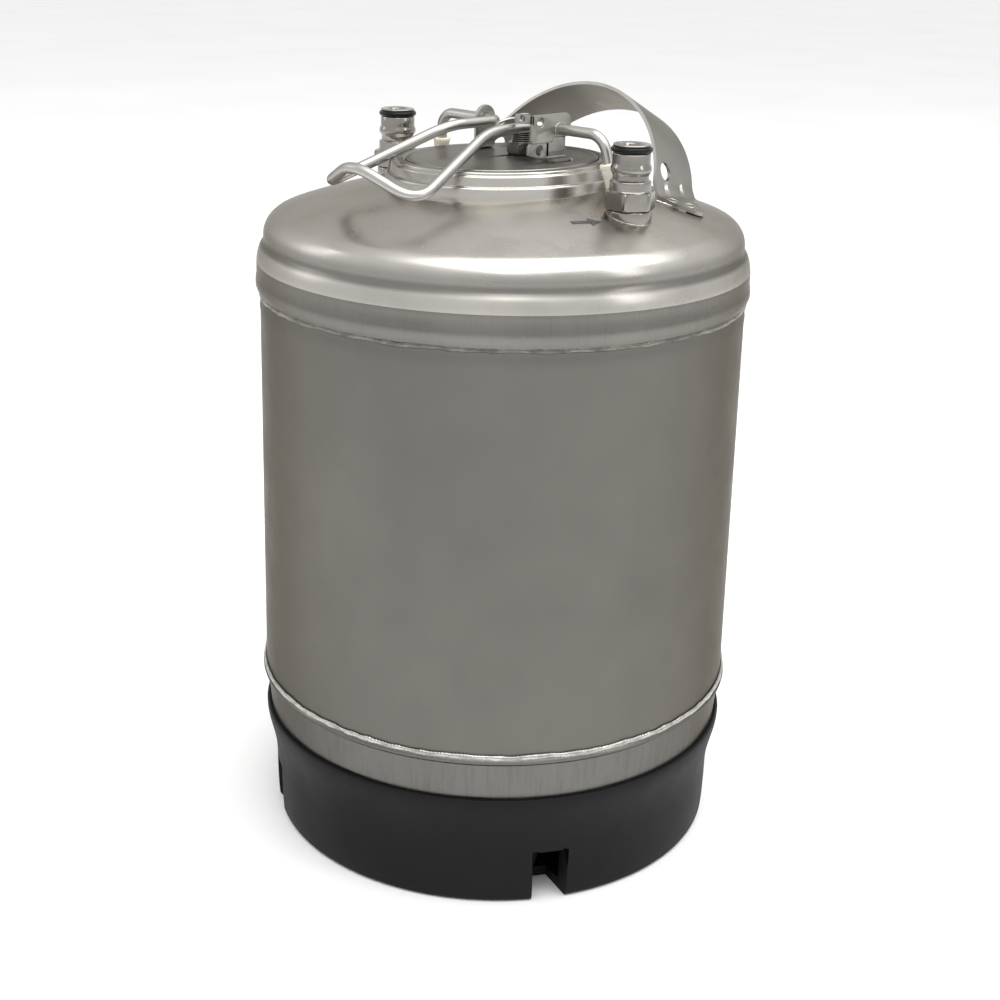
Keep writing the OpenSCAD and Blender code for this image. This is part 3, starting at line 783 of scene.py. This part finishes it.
def build_valve():
    """The relief valve's housing, nut and washer on the lid, and its pull ring."""
    x, y, z = VALVE
    base = [(4.92, 1.1), (7.6, 1.1), (8.0, 1.5), (8.0, 5.3), (7.4, 5.7), (5.7, 5.7)]
    thread_turns, pitch = 7, 0.95
    thread = []
    for k in range(thread_turns):
        z0 = 5.7 + k * pitch
        thread += [(5.65, z0 + 0.15), (5.2, z0 + 0.6)]
    cap = [(5.2, 12.4), (6.1, 12.6), (6.1, 13.1), (5.5, 13.7), (2.2, 13.7), (2.2, 11.5),
           (4, 11.5), (4, -3), (2.2, -3), (2.2, -9), (4.9, -9), (4.9, 1.1)]
    obj = revolve("valve_housing", base + thread + cap, VALVE_METAL, centre=(x, y, z), steps=96,
                  radius_at=hexagonal(VALVE_FLATS))
    place(obj, "lid", ["relief_valve_body"])
    nut = softened([(4.95, 0), (8.8, 0), (8.8, 4), (4.95, 4)], 0.5)
    obj = revolve("valve_nut", nut, TURNED, centre=(x, y, z - NUT_DROP), steps=96,
                  radius_at=hexagonal(NUT_FLATS))
    place(obj, "lid", ["relief_valve_nut"])
    washer = softened([(5, 0.03), (7.2, 0.03), (7.2, 1.08), (5, 1.08)], 0.25)
    obj = revolve("valve_washer", washer, SEAL, centre=(x, y, z), steps=64)
    place(obj, "lid", ["relief_valve_gasket"])
    hole = VALVE + Vector((0, 0, RING_LIFT))
    tilt = Matrix.Rotation(RING_TILT, 3, "X")
    ring = []
    for i in range(64):
        a = TAU * i / 64
        ring.append(hole + tilt @ Vector((RING_R * math.cos(a), RING_R * (math.sin(a) - 1), 0)))
    obj = tube("pull_ring_wire", ring, RING_WIRE, WIRE_STEEL, sides=12, closed=True)
    place(obj, "pull_ring", ["relief_pull_ring"])


# ---------------------------------------------------------------- bail

def leg_matrix(side):
    """Frame of a leg: origin at the middle of its bend, -Z down the leg."""
    lean = Matrix.Rotation(LEG_LEAN, 4, "X")
    start = Matrix.Translation(Vector((LEG_X - LEG_BEND_R, PIVOT.y, PIVOT.z)))
    down = Matrix.Translation(Vector((0, 0, -LEG_BEND_R)))
    flip = Matrix.Diagonal((side, 1, 1, 1))
    return flip @ start @ lean @ down


def build_bail():
    """The wire, built as one half and its mirror image, and the two leg caps."""
    half = []
    frame_of_leg = leg_matrix(1)
    tilt = Matrix.Rotation(-LEG_SPLAY, 4, "Y")
    for k in range(5):
        half.append(frame_of_leg @ tilt @ Vector((LEG_BEND_R, 0, -LEG_LEN * (1 - k / 4))))
    for k in range(1, 13):
        a = LEG_SPLAY + (math.pi / 2 - LEG_SPLAY) * k / 12
        half.append(frame_of_leg @ Vector((LEG_BEND_R * math.cos(a), 0, LEG_BEND_R * math.sin(a))))
    half.append(Vector((ARM_X + BEND_R, PIVOT.y, PIVOT.z)))
    for k in range(1, 11):
        a = math.pi / 2 * (1 + k / 10)
        half.append(Vector((ARM_X + BEND_R + BEND_R * math.cos(a),
                            PIVOT.y - BEND_R + BEND_R * math.sin(a), PIVOT.z)))
    arm = Vector((ARM_X, PIVOT.y - BEND_R, PIVOT.z))
    bend = Vector((ARM_X, GRIP_BEND_Y, PIVOT.z))
    half += corner(arm, bend, GRIP_CORNER, 10, 10)
    half += corner(bend, GRIP_CORNER, GRIP_MIDDLE, 13, 14)
    mirror = [Vector((-p.x, p.y, p.z)) for p in half[::-1]]
    far = Vector((-GRIP_CORNER.x, GRIP_CORNER.y, GRIP_CORNER.z))
    path = half + corner(GRIP_CORNER, GRIP_MIDDLE, far, 12, 12) + mirror
    obj = tube("bail_bar", path, WIRE_R, WIRE_STEEL, sides=28)
    place(obj, "bail", ["bail_wire"])
    outline = softened([(2.45, 2), (2.45, CAP_LEN), (3.85, CAP_LEN), (4.15, CAP_LEN - 0.7),
                        (4.0, CAP_LEN - 2.2), (3.85, CAP_LEN - 2.5), (2.75, 0.8), (2.0, 0),
                        (0.05, 0), (0.05, 2)], 0.3)
    for side, node in ((1, "right_leg_cap"), (-1, "left_leg_cap")):
        cap = revolve(node + "_moulding", outline, CREAM, steps=48)
        move = Matrix.Scale(MM, 4) @ leg_matrix(side) @ Matrix.Rotation(-LEG_SPLAY, 4, "Y")
        move = move @ Matrix.Translation(Vector((LEG_BEND_R, 0, -LEG_LEN - 2)))
        cap.data.transform(move @ Matrix.Scale(1 / MM, 4))
        if side < 0:
            cap.data.flip_normals()
        place(cap, "bail", [node])


# ---------------------------------------------------------------- posts

def build_post(name, x, notched):
    """A nipple with its weld, the post screwed on it and the O-ring; the gas post is notched."""
    ring = softened([(5.25, -8.5), (7.65, -8.5), (7.65, -3.3), (NIPPLE_R, -3.3),
                     (NIPPLE_R, 3.4), (NIPPLE_R - 0.4, 4), (7, 4), (7, 13), (5.25, 13)], 0.3)
    nipple = revolve(name + "_stub", ring, TURNED, centre=(x, 0, POST_Z), steps=96)
    place(nipple, "keg", [name + "_nipple"])
    spots = [TAU * i / 96 for i in range(96)]
    bead_r = NIPPLE_R + 0.05
    bead = [on_dome(x + bead_r * math.cos(a), bead_r * math.sin(a), 0.1) for a in spots]
    weld = tube(name + "_stub_weld", bead, 0.3, WELD, sides=10, closed=True,
                radius_at=lambda i: 0.3 + 0.06 * math.sin(i * 1.7) + 0.04 * math.sin(i * 5.1))
    place(weld, "keg")
    outline = [(7.14, 4.2), (9.6, 4.2), (11.0, 4.5), (11.5, 5.1), (11.5, 11.2), (10.9, 11.9),
               (9.8, 12.1), (9.2, 12.15), (8.9, 12.5)]
    outline += [(8.9, 15.6)] + arc(8.3, 15.9, 0.6, 0, 70, 4)
    outline += [(7.8, 17.0), (7.75, 18.8), (8.1, 19.5), (8.65, 20.3), (8.8, 20.8), (8.8, 21.9),
                (8.6, 22.6), (8.2, 23.4), (8.15, 24), (8.15, 27.7), (7.9, 28.1), (7.0, 28.3),
                (7.0, 31.0), (7.9, 31.15), (8.1, 31.3), (8.1, 31.6), (7.9, 31.85), (7.6, 31.95),
                (4.9, 31.8), (4.4, 31.5), (3.0, 30.3), (2.7, 30), (2.7, 29.7), (5.4, 26.9),
                (5.4, 13.6), (7.14, 13.6)]
    post = revolve(name + "_fitting", outline, TURNED, centre=(x, 0, POST_Z), steps=144,
                   radius_at=hexagonal(POST_FLATS), angle=28)
    if notched:
        nick_at, nick_r = 11.0, 1.3
        cutters = []
        for k in range(6):
            a = math.radians(60 * k + 30)
            spot = Vector((x + nick_at * math.cos(a), nick_at * math.sin(a), POST_Z + 8))
            side = Vector((-math.sin(a), math.cos(a), 0))
            path = [spot - side * 3, spot + side * 3]
            cutters.append(tube("nick", path, nick_r, TURNED, sides=20))
        cut(post, cutters)
    place(post, "keg", [name + "_post"])
    seal = [Vector((x + 7.65 * math.cos(a), 7.65 * math.sin(a), POST_Z + 29.6)) for a in spots]
    ring = tube(name + "_sealing_ring", seal, 1.32, SEAL, sides=20, closed=True)
    place(ring, "keg", [name + "_post_seal"])


# ---------------------------------------------------------------- strap handle

def strap_point(u, x, across):
    """Point of the arch's plane coordinate u above its base, moved across the strap's width."""
    c, s = math.cos(STRAP_LEAN), math.sin(STRAP_LEAN)
    base = dome_z(68) - 1
    return Vector((x, STRAP_Y + u * s + across * c, base + u * c - across * s))


def strap_line(across, mid_r):
    """Middle line of the strap from one tab's end to the other, at one place across its width."""
    angles = [math.radians(a) for a in range(-4, 185, 4)]
    arch = [strap_point(mid_r * math.sin(a) - STRAP_DROP, mid_r * math.cos(a), across)
            for a in angles]
    lift = 0.6 + STRAP_T / 2
    arch = [p for p in arch if p.z > dome_z(min(math.hypot(p.x, p.y), 98)) + lift + 2.6]
    out = []
    for side, end in ((1, arch[0]), (-1, arch[-1])):
        y = STRAP_Y + 1.2 + across * 0.9
        run = []
        for k in range(7):
            x = side * (82 - k * 2.9)
            run.append(Vector((x, y, dome_z(min(math.hypot(x, y), 98.4)) + lift)))
        foot = Vector((side * 60.6, y, dome_z(math.hypot(60.6, y)) + lift))
        bend = corner(run[-1], foot, end, 2.4, 6)
        line = run + bend
        out.append(line)
    return out[0] + arch + out[1][::-1]


def running_lengths(line):
    """Length from the line's start to each of its points."""
    lengths = [0]
    for a, b in zip(line, line[1:]):
        lengths.append(lengths[-1] + (b - a).length)
    return lengths


def placed_along(line, marks):
    """Points of a line of points at the given lengths from its start."""
    lengths = running_lengths(line)
    out = []
    j = 0
    for m in marks:
        while j < len(lengths) - 2 and lengths[j + 1] < m:
            j += 1
        t = (m - lengths[j]) / max(lengths[j + 1] - lengths[j], 1e-6)
        out.append(line[j].lerp(line[j + 1], min(max(t, 0), 1)))
    return out


def strap_marks(total, tab_steps=20, arch_steps=80):
    """Lengths along the strap: even steps on both tabs, and even steps on the arch."""
    tab_marks = [STRAP_TAB * i / tab_steps for i in range(tab_steps)]
    arch_len = total - 2 * STRAP_TAB
    arch_marks = [STRAP_TAB + arch_len * i / (arch_steps - 1) for i in range(arch_steps)]
    return tab_marks + arch_marks + [total - m for m in tab_marks][::-1]


def sheet_from_grid(name, grid, thickness, material):
    """A closed sheet of even thickness around a grid of points on its middle surface."""
    rows, width = len(grid), len(grid[0])
    points, faces = [], []
    for sign in (0.5, -0.5):
        for r in range(rows):
            for c in range(width):
                along = grid[r][min(c + 1, width - 1)] - grid[r][max(c - 1, 0)]
                over = grid[min(r + 1, rows - 1)][c] - grid[max(r - 1, 0)][c]
                n = along.cross(over).normalized()
                points.append(grid[r][c] + n * thickness * sign)
    layer = rows * width
    for r in range(rows - 1):
        for c in range(width - 1):
            a = r * width + c
            faces.append((a, a + 1, a + width + 1, a + width))
            faces.append((layer + a, layer + a + width, layer + a + width + 1, layer + a + 1))
    rim = list(range(width)) + [r * width + width - 1 for r in range(1, rows)]
    rim += [(rows - 1) * width + c for c in range(width - 2, -1, -1)]
    rim += [r * width for r in range(rows - 2, 0, -1)]
    for a, b in zip(rim, rim[1:] + rim[:1]):
        faces.append((a, b, layer + b, layer + a))
    return make_mesh(name, points, faces, material)


def strap_cutters(mid_r):
    """Cutters for the leg holes, for the tabs' outlines and for the slot by the crest."""
    cutters = []
    tip = Vector((76, STRAP_Y + 9.6))
    tip_r = 4.2
    for side in (1, -1):
        path = [Vector((side * 40, STRAP_Y + 14, 315)), Vector((side * 80, STRAP_Y + 14, 315))]
        cutters.append(tube("hole", path, STRAP_HOLE_R, SHEET_STEEL, sides=40))
        plan = [(62, STRAP_Y - 20), (62, STRAP_Y - 1.4), (66.5, STRAP_Y - 1.6)]
        plan += arc(tip.x, tip.y, tip_r, -58, 58, 10)
        plan += [(64, STRAP_Y + 23), (62, STRAP_Y + 26), (62, STRAP_Y + 50), (99, STRAP_Y + 50),
                 (99, STRAP_Y - 20)]
        ring = [Vector((side * px, py, 270)) for px, py in plan]
        cutters.append(loft("trim", [ring, [p + Vector((0, 0, 60)) for p in ring]], SHEET_STEEL))
    slot_at = strap_point(mid_r * math.cos(SLOT_TURN) - STRAP_DROP,
                          -mid_r * math.sin(SLOT_TURN), SLOT_ACROSS)
    box = [Vector((sx * 1.1, sy * 3, 0)) for sx, sy in ((-1, -1), (1, -1), (1, 1), (-1, 1))]
    tilt = Matrix.Rotation(-STRAP_LEAN, 3, "X") @ Matrix.Rotation(-SLOT_TURN, 3, "Y")
    rings = [[slot_at + tilt @ (p + Vector((0, 0, z))) for p in box] for z in (-7, 7)]
    return cutters + [loft("slit", rings, SHEET_STEEL)]


def build_strap():
    rows = 21
    mid_r = STRAP_R - STRAP_T / 2
    grid = []
    for k in range(rows):
        line = strap_line(STRAP_W * k / (rows - 1), mid_r)
        grid.append(placed_along(line, strap_marks(running_lengths(line)[-1])))
    strap = sheet_from_grid("strap_sheet", grid, STRAP_T, SHEET_STEEL)
    cut(strap, strap_cutters(mid_r))
    ease_edges(strap, 0.45)
    place(strap, "keg", ["strap_handle"])


def build_strap_welds():
    """Two spot welds on each tab, and a fillet along the tab's straight edge."""
    spots = []
    for side in (1, -1):
        for x, y in ((67.5, STRAP_Y + 4), (73, STRAP_Y + 9.5)):
            top = on_dome(side * x, y, 0.6 + STRAP_T)
            ring = [top + Vector((2 * math.cos(a), 2 * math.sin(a), -0.5 * math.cos(a) * side))
                    for a in [TAU * i / 24 for i in range(24)]]
            spots.append(tube("spot", ring, 0.4, WELD, sides=8, closed=True))
        path = []
        for k in range(11):
            x, y = 63 + k * 1.2, STRAP_Y - 1.6 + k * 0.62 + 0.2 * math.sin(k * 2.1)
            path.append(on_dome(side * x, y, 0.3))
        spots.append(tube("fillet", path, 0.8, WELD, sides=10,
                          radius_at=lambda i: 0.65 + 0.15 * math.sin(i * 2.7)))
    place(join("strap_welds", spots), "keg")


# ---------------------------------------------------------------- small marks

def build_arrow():
    """Generic etched arrow that points at the liquid post."""
    plan = [(-7, -1.1), (1.5, -1.1), (1.5, -3.4), (7, 0), (1.5, 3.4), (1.5, 1.1), (-7, 1.1)]
    centre, turn = Vector((72.5, -24)), math.radians(68)
    c, s = math.cos(turn), math.sin(turn)
    spots = [(centre.x + u * c - v * s, centre.y + u * s + v * c) for u, v in plan]
    rings = [[on_dome(x, y, lift) for x, y in spots] for lift in (-0.3, 0.2)]
    place(loft("arrow_mark", rings, ETCHED), "keg")


def build_coil(node, centre, low, high, radius, wire, body):
    """Coil spring of five turns from low to high, riding on its body."""
    turns, steps = 5, 24
    path = []
    for k in range(turns * steps + 1):
        a = TAU * k / steps
        path.append(Vector((centre[0] + radius * math.cos(a), centre[1] + radius * math.sin(a),
                            low + (high - low) * k / (turns * steps))))
    coil = tube(node + "_coil", path, wire, DULL_STEEL, sides=10)
    place(coil, body, [node])
    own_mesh(coil)


def build_coils():
    low, high = LID_TOP + 0.6, LID_TOP + 10.8
    build_coil("relief_spring", VALVE, low, high, 2.75, 0.4, "lid")
    low, high = POST_Z + 15.7, POST_Z + 24.9
    for side, x in (("liquid", POST_X), ("gas", -POST_X)):
        build_coil(side + "_poppet_spring", (x, 0), low, high, 2.4, 0.35, side + "_poppet")


def dress_nodes():
    """Materials for every CAD node, those that a piece stands for included."""
    looks = {"tube": DULL_STEEL, "spring": DULL_STEEL, "seal": SEAL, "machined": TURNED}
    for row in frame["record"]["subparts"]:
        obj = frame["nodes"][row["node"]]
        obj.data.materials.clear()
        obj.data.materials.append(looks.get(row["material_slot"], DULL_STEEL))


# ---------------------------------------------------------------- studio

def area_light(name, place_at, aim, size, power):
    data = bpy.data.lights.new(name, "AREA")
    data.shape = "RECTANGLE"
    data.size, data.size_y = size
    data.energy = power
    obj = bpy.data.objects.new(name, data)
    obj.location = place_at
    obj.rotation_euler = (Vector(aim) - Vector(place_at)).to_track_quat("-Z", "Y").to_euler()
    bpy.context.scene.collection.objects.link(obj)


def build_studio():
    mesh = bpy.data.meshes.new("floor")
    size = 12
    mesh.from_pydata([(-size, -size, 0), (size, -size, 0), (size, size, 0), (-size, size, 0)], [],
                     [(0, 1, 2, 3)])
    mesh.materials.append(floor_material())
    floor = bpy.data.objects.new("floor", mesh)
    bpy.context.scene.collection.objects.link(floor)
    world = bpy.data.worlds.new("studio")
    bpy.context.scene.world = world
    world.use_nodes = True
    tree = world.node_tree
    back = tree.nodes["Background"]
    coords = tree.nodes.new("ShaderNodeTexCoord")
    parts = tree.nodes.new("ShaderNodeSeparateXYZ")
    ramp = tree.nodes.new("ShaderNodeValToRGB")
    ramp.color_ramp.elements[0].position = 0.0
    ramp.color_ramp.elements[0].color = (0.97, 0.97, 0.97, 1)
    ramp.color_ramp.elements[1].position = 0.75
    ramp.color_ramp.elements[1].color = (1.0, 1.0, 1.0, 1)
    tree.links.new(coords.outputs["Generated"], parts.inputs[0])
    tree.links.new(parts.outputs["Z"], ramp.inputs["Fac"])
    tree.links.new(ramp.outputs["Color"], back.inputs["Color"])
    back.inputs["Strength"].default_value = 0.97
    area_light("overhead", (0.49, 0.0, 2.0), (0, 0, 0.25), (2.8, 2.0), 50)
    area_light("left_box", (-1.9, -1.3, 1.3), (0, 0, 0.2), (0.5, 1.2), 4)
    area_light("right_box", (1.8, 0.5, 1.2), (0, 0, 0.2), (0.4, 1.2), 4)


def build_camera():
    """Camera at the viewing angle of a person standing in front of the liquid post's side."""
    azimuth, pitch, roll = math.radians(45), math.radians(16.77), math.radians(1.44)
    distance, height = 0.738, 0.426
    side = Vector((math.cos(azimuth), math.sin(azimuth), 0))
    level = Vector((-math.sin(azimuth), math.cos(azimuth), 0))
    look = level * math.cos(pitch) - Vector((0, 0, math.sin(pitch)))
    up = side.cross(look)
    right = side * math.cos(roll) + up * math.sin(roll)
    above = up * math.cos(roll) - side * math.sin(roll)
    data = bpy.data.cameras.new("camera")
    data.lens = 58.3
    data.sensor_width = 36
    data.shift_y = -0.1
    data.clip_start, data.clip_end = 0.01, 100
    camera = bpy.data.objects.new("camera", data)
    turn = Matrix((right, above, -look)).transposed().to_4x4()
    camera.matrix_world = Matrix.Translation(-level * distance + Vector((0, 0, height))) @ turn
    bpy.context.scene.collection.objects.link(camera)
    bpy.context.scene.camera = camera


build_camera()
build_studio()
build_shell()
build_dome()
build_bowl()
girth_weld("upper_girth_weld", BODY_R + 0.2, UPPER_WELD, height=1.1, proud=0.45, seed=3.1,
           material=DARK_WELD)
girth_weld("lower_girth_weld", BODY_R + 0.5, LOWER_WELD + 0.2, height=1.3, proud=0.8, seed=7.7,
           material=WELD)
build_boot()
build_collar()
build_lid()
build_ears()
build_guard()
build_valve()
build_bail()
build_post("liquid", POST_X, False)
build_post("gas", -POST_X, True)
build_strap()
build_strap_welds()
build_arrow()
build_coils()
dress_nodes()
bpy.context.scene.view_settings.view_transform = "Standard"
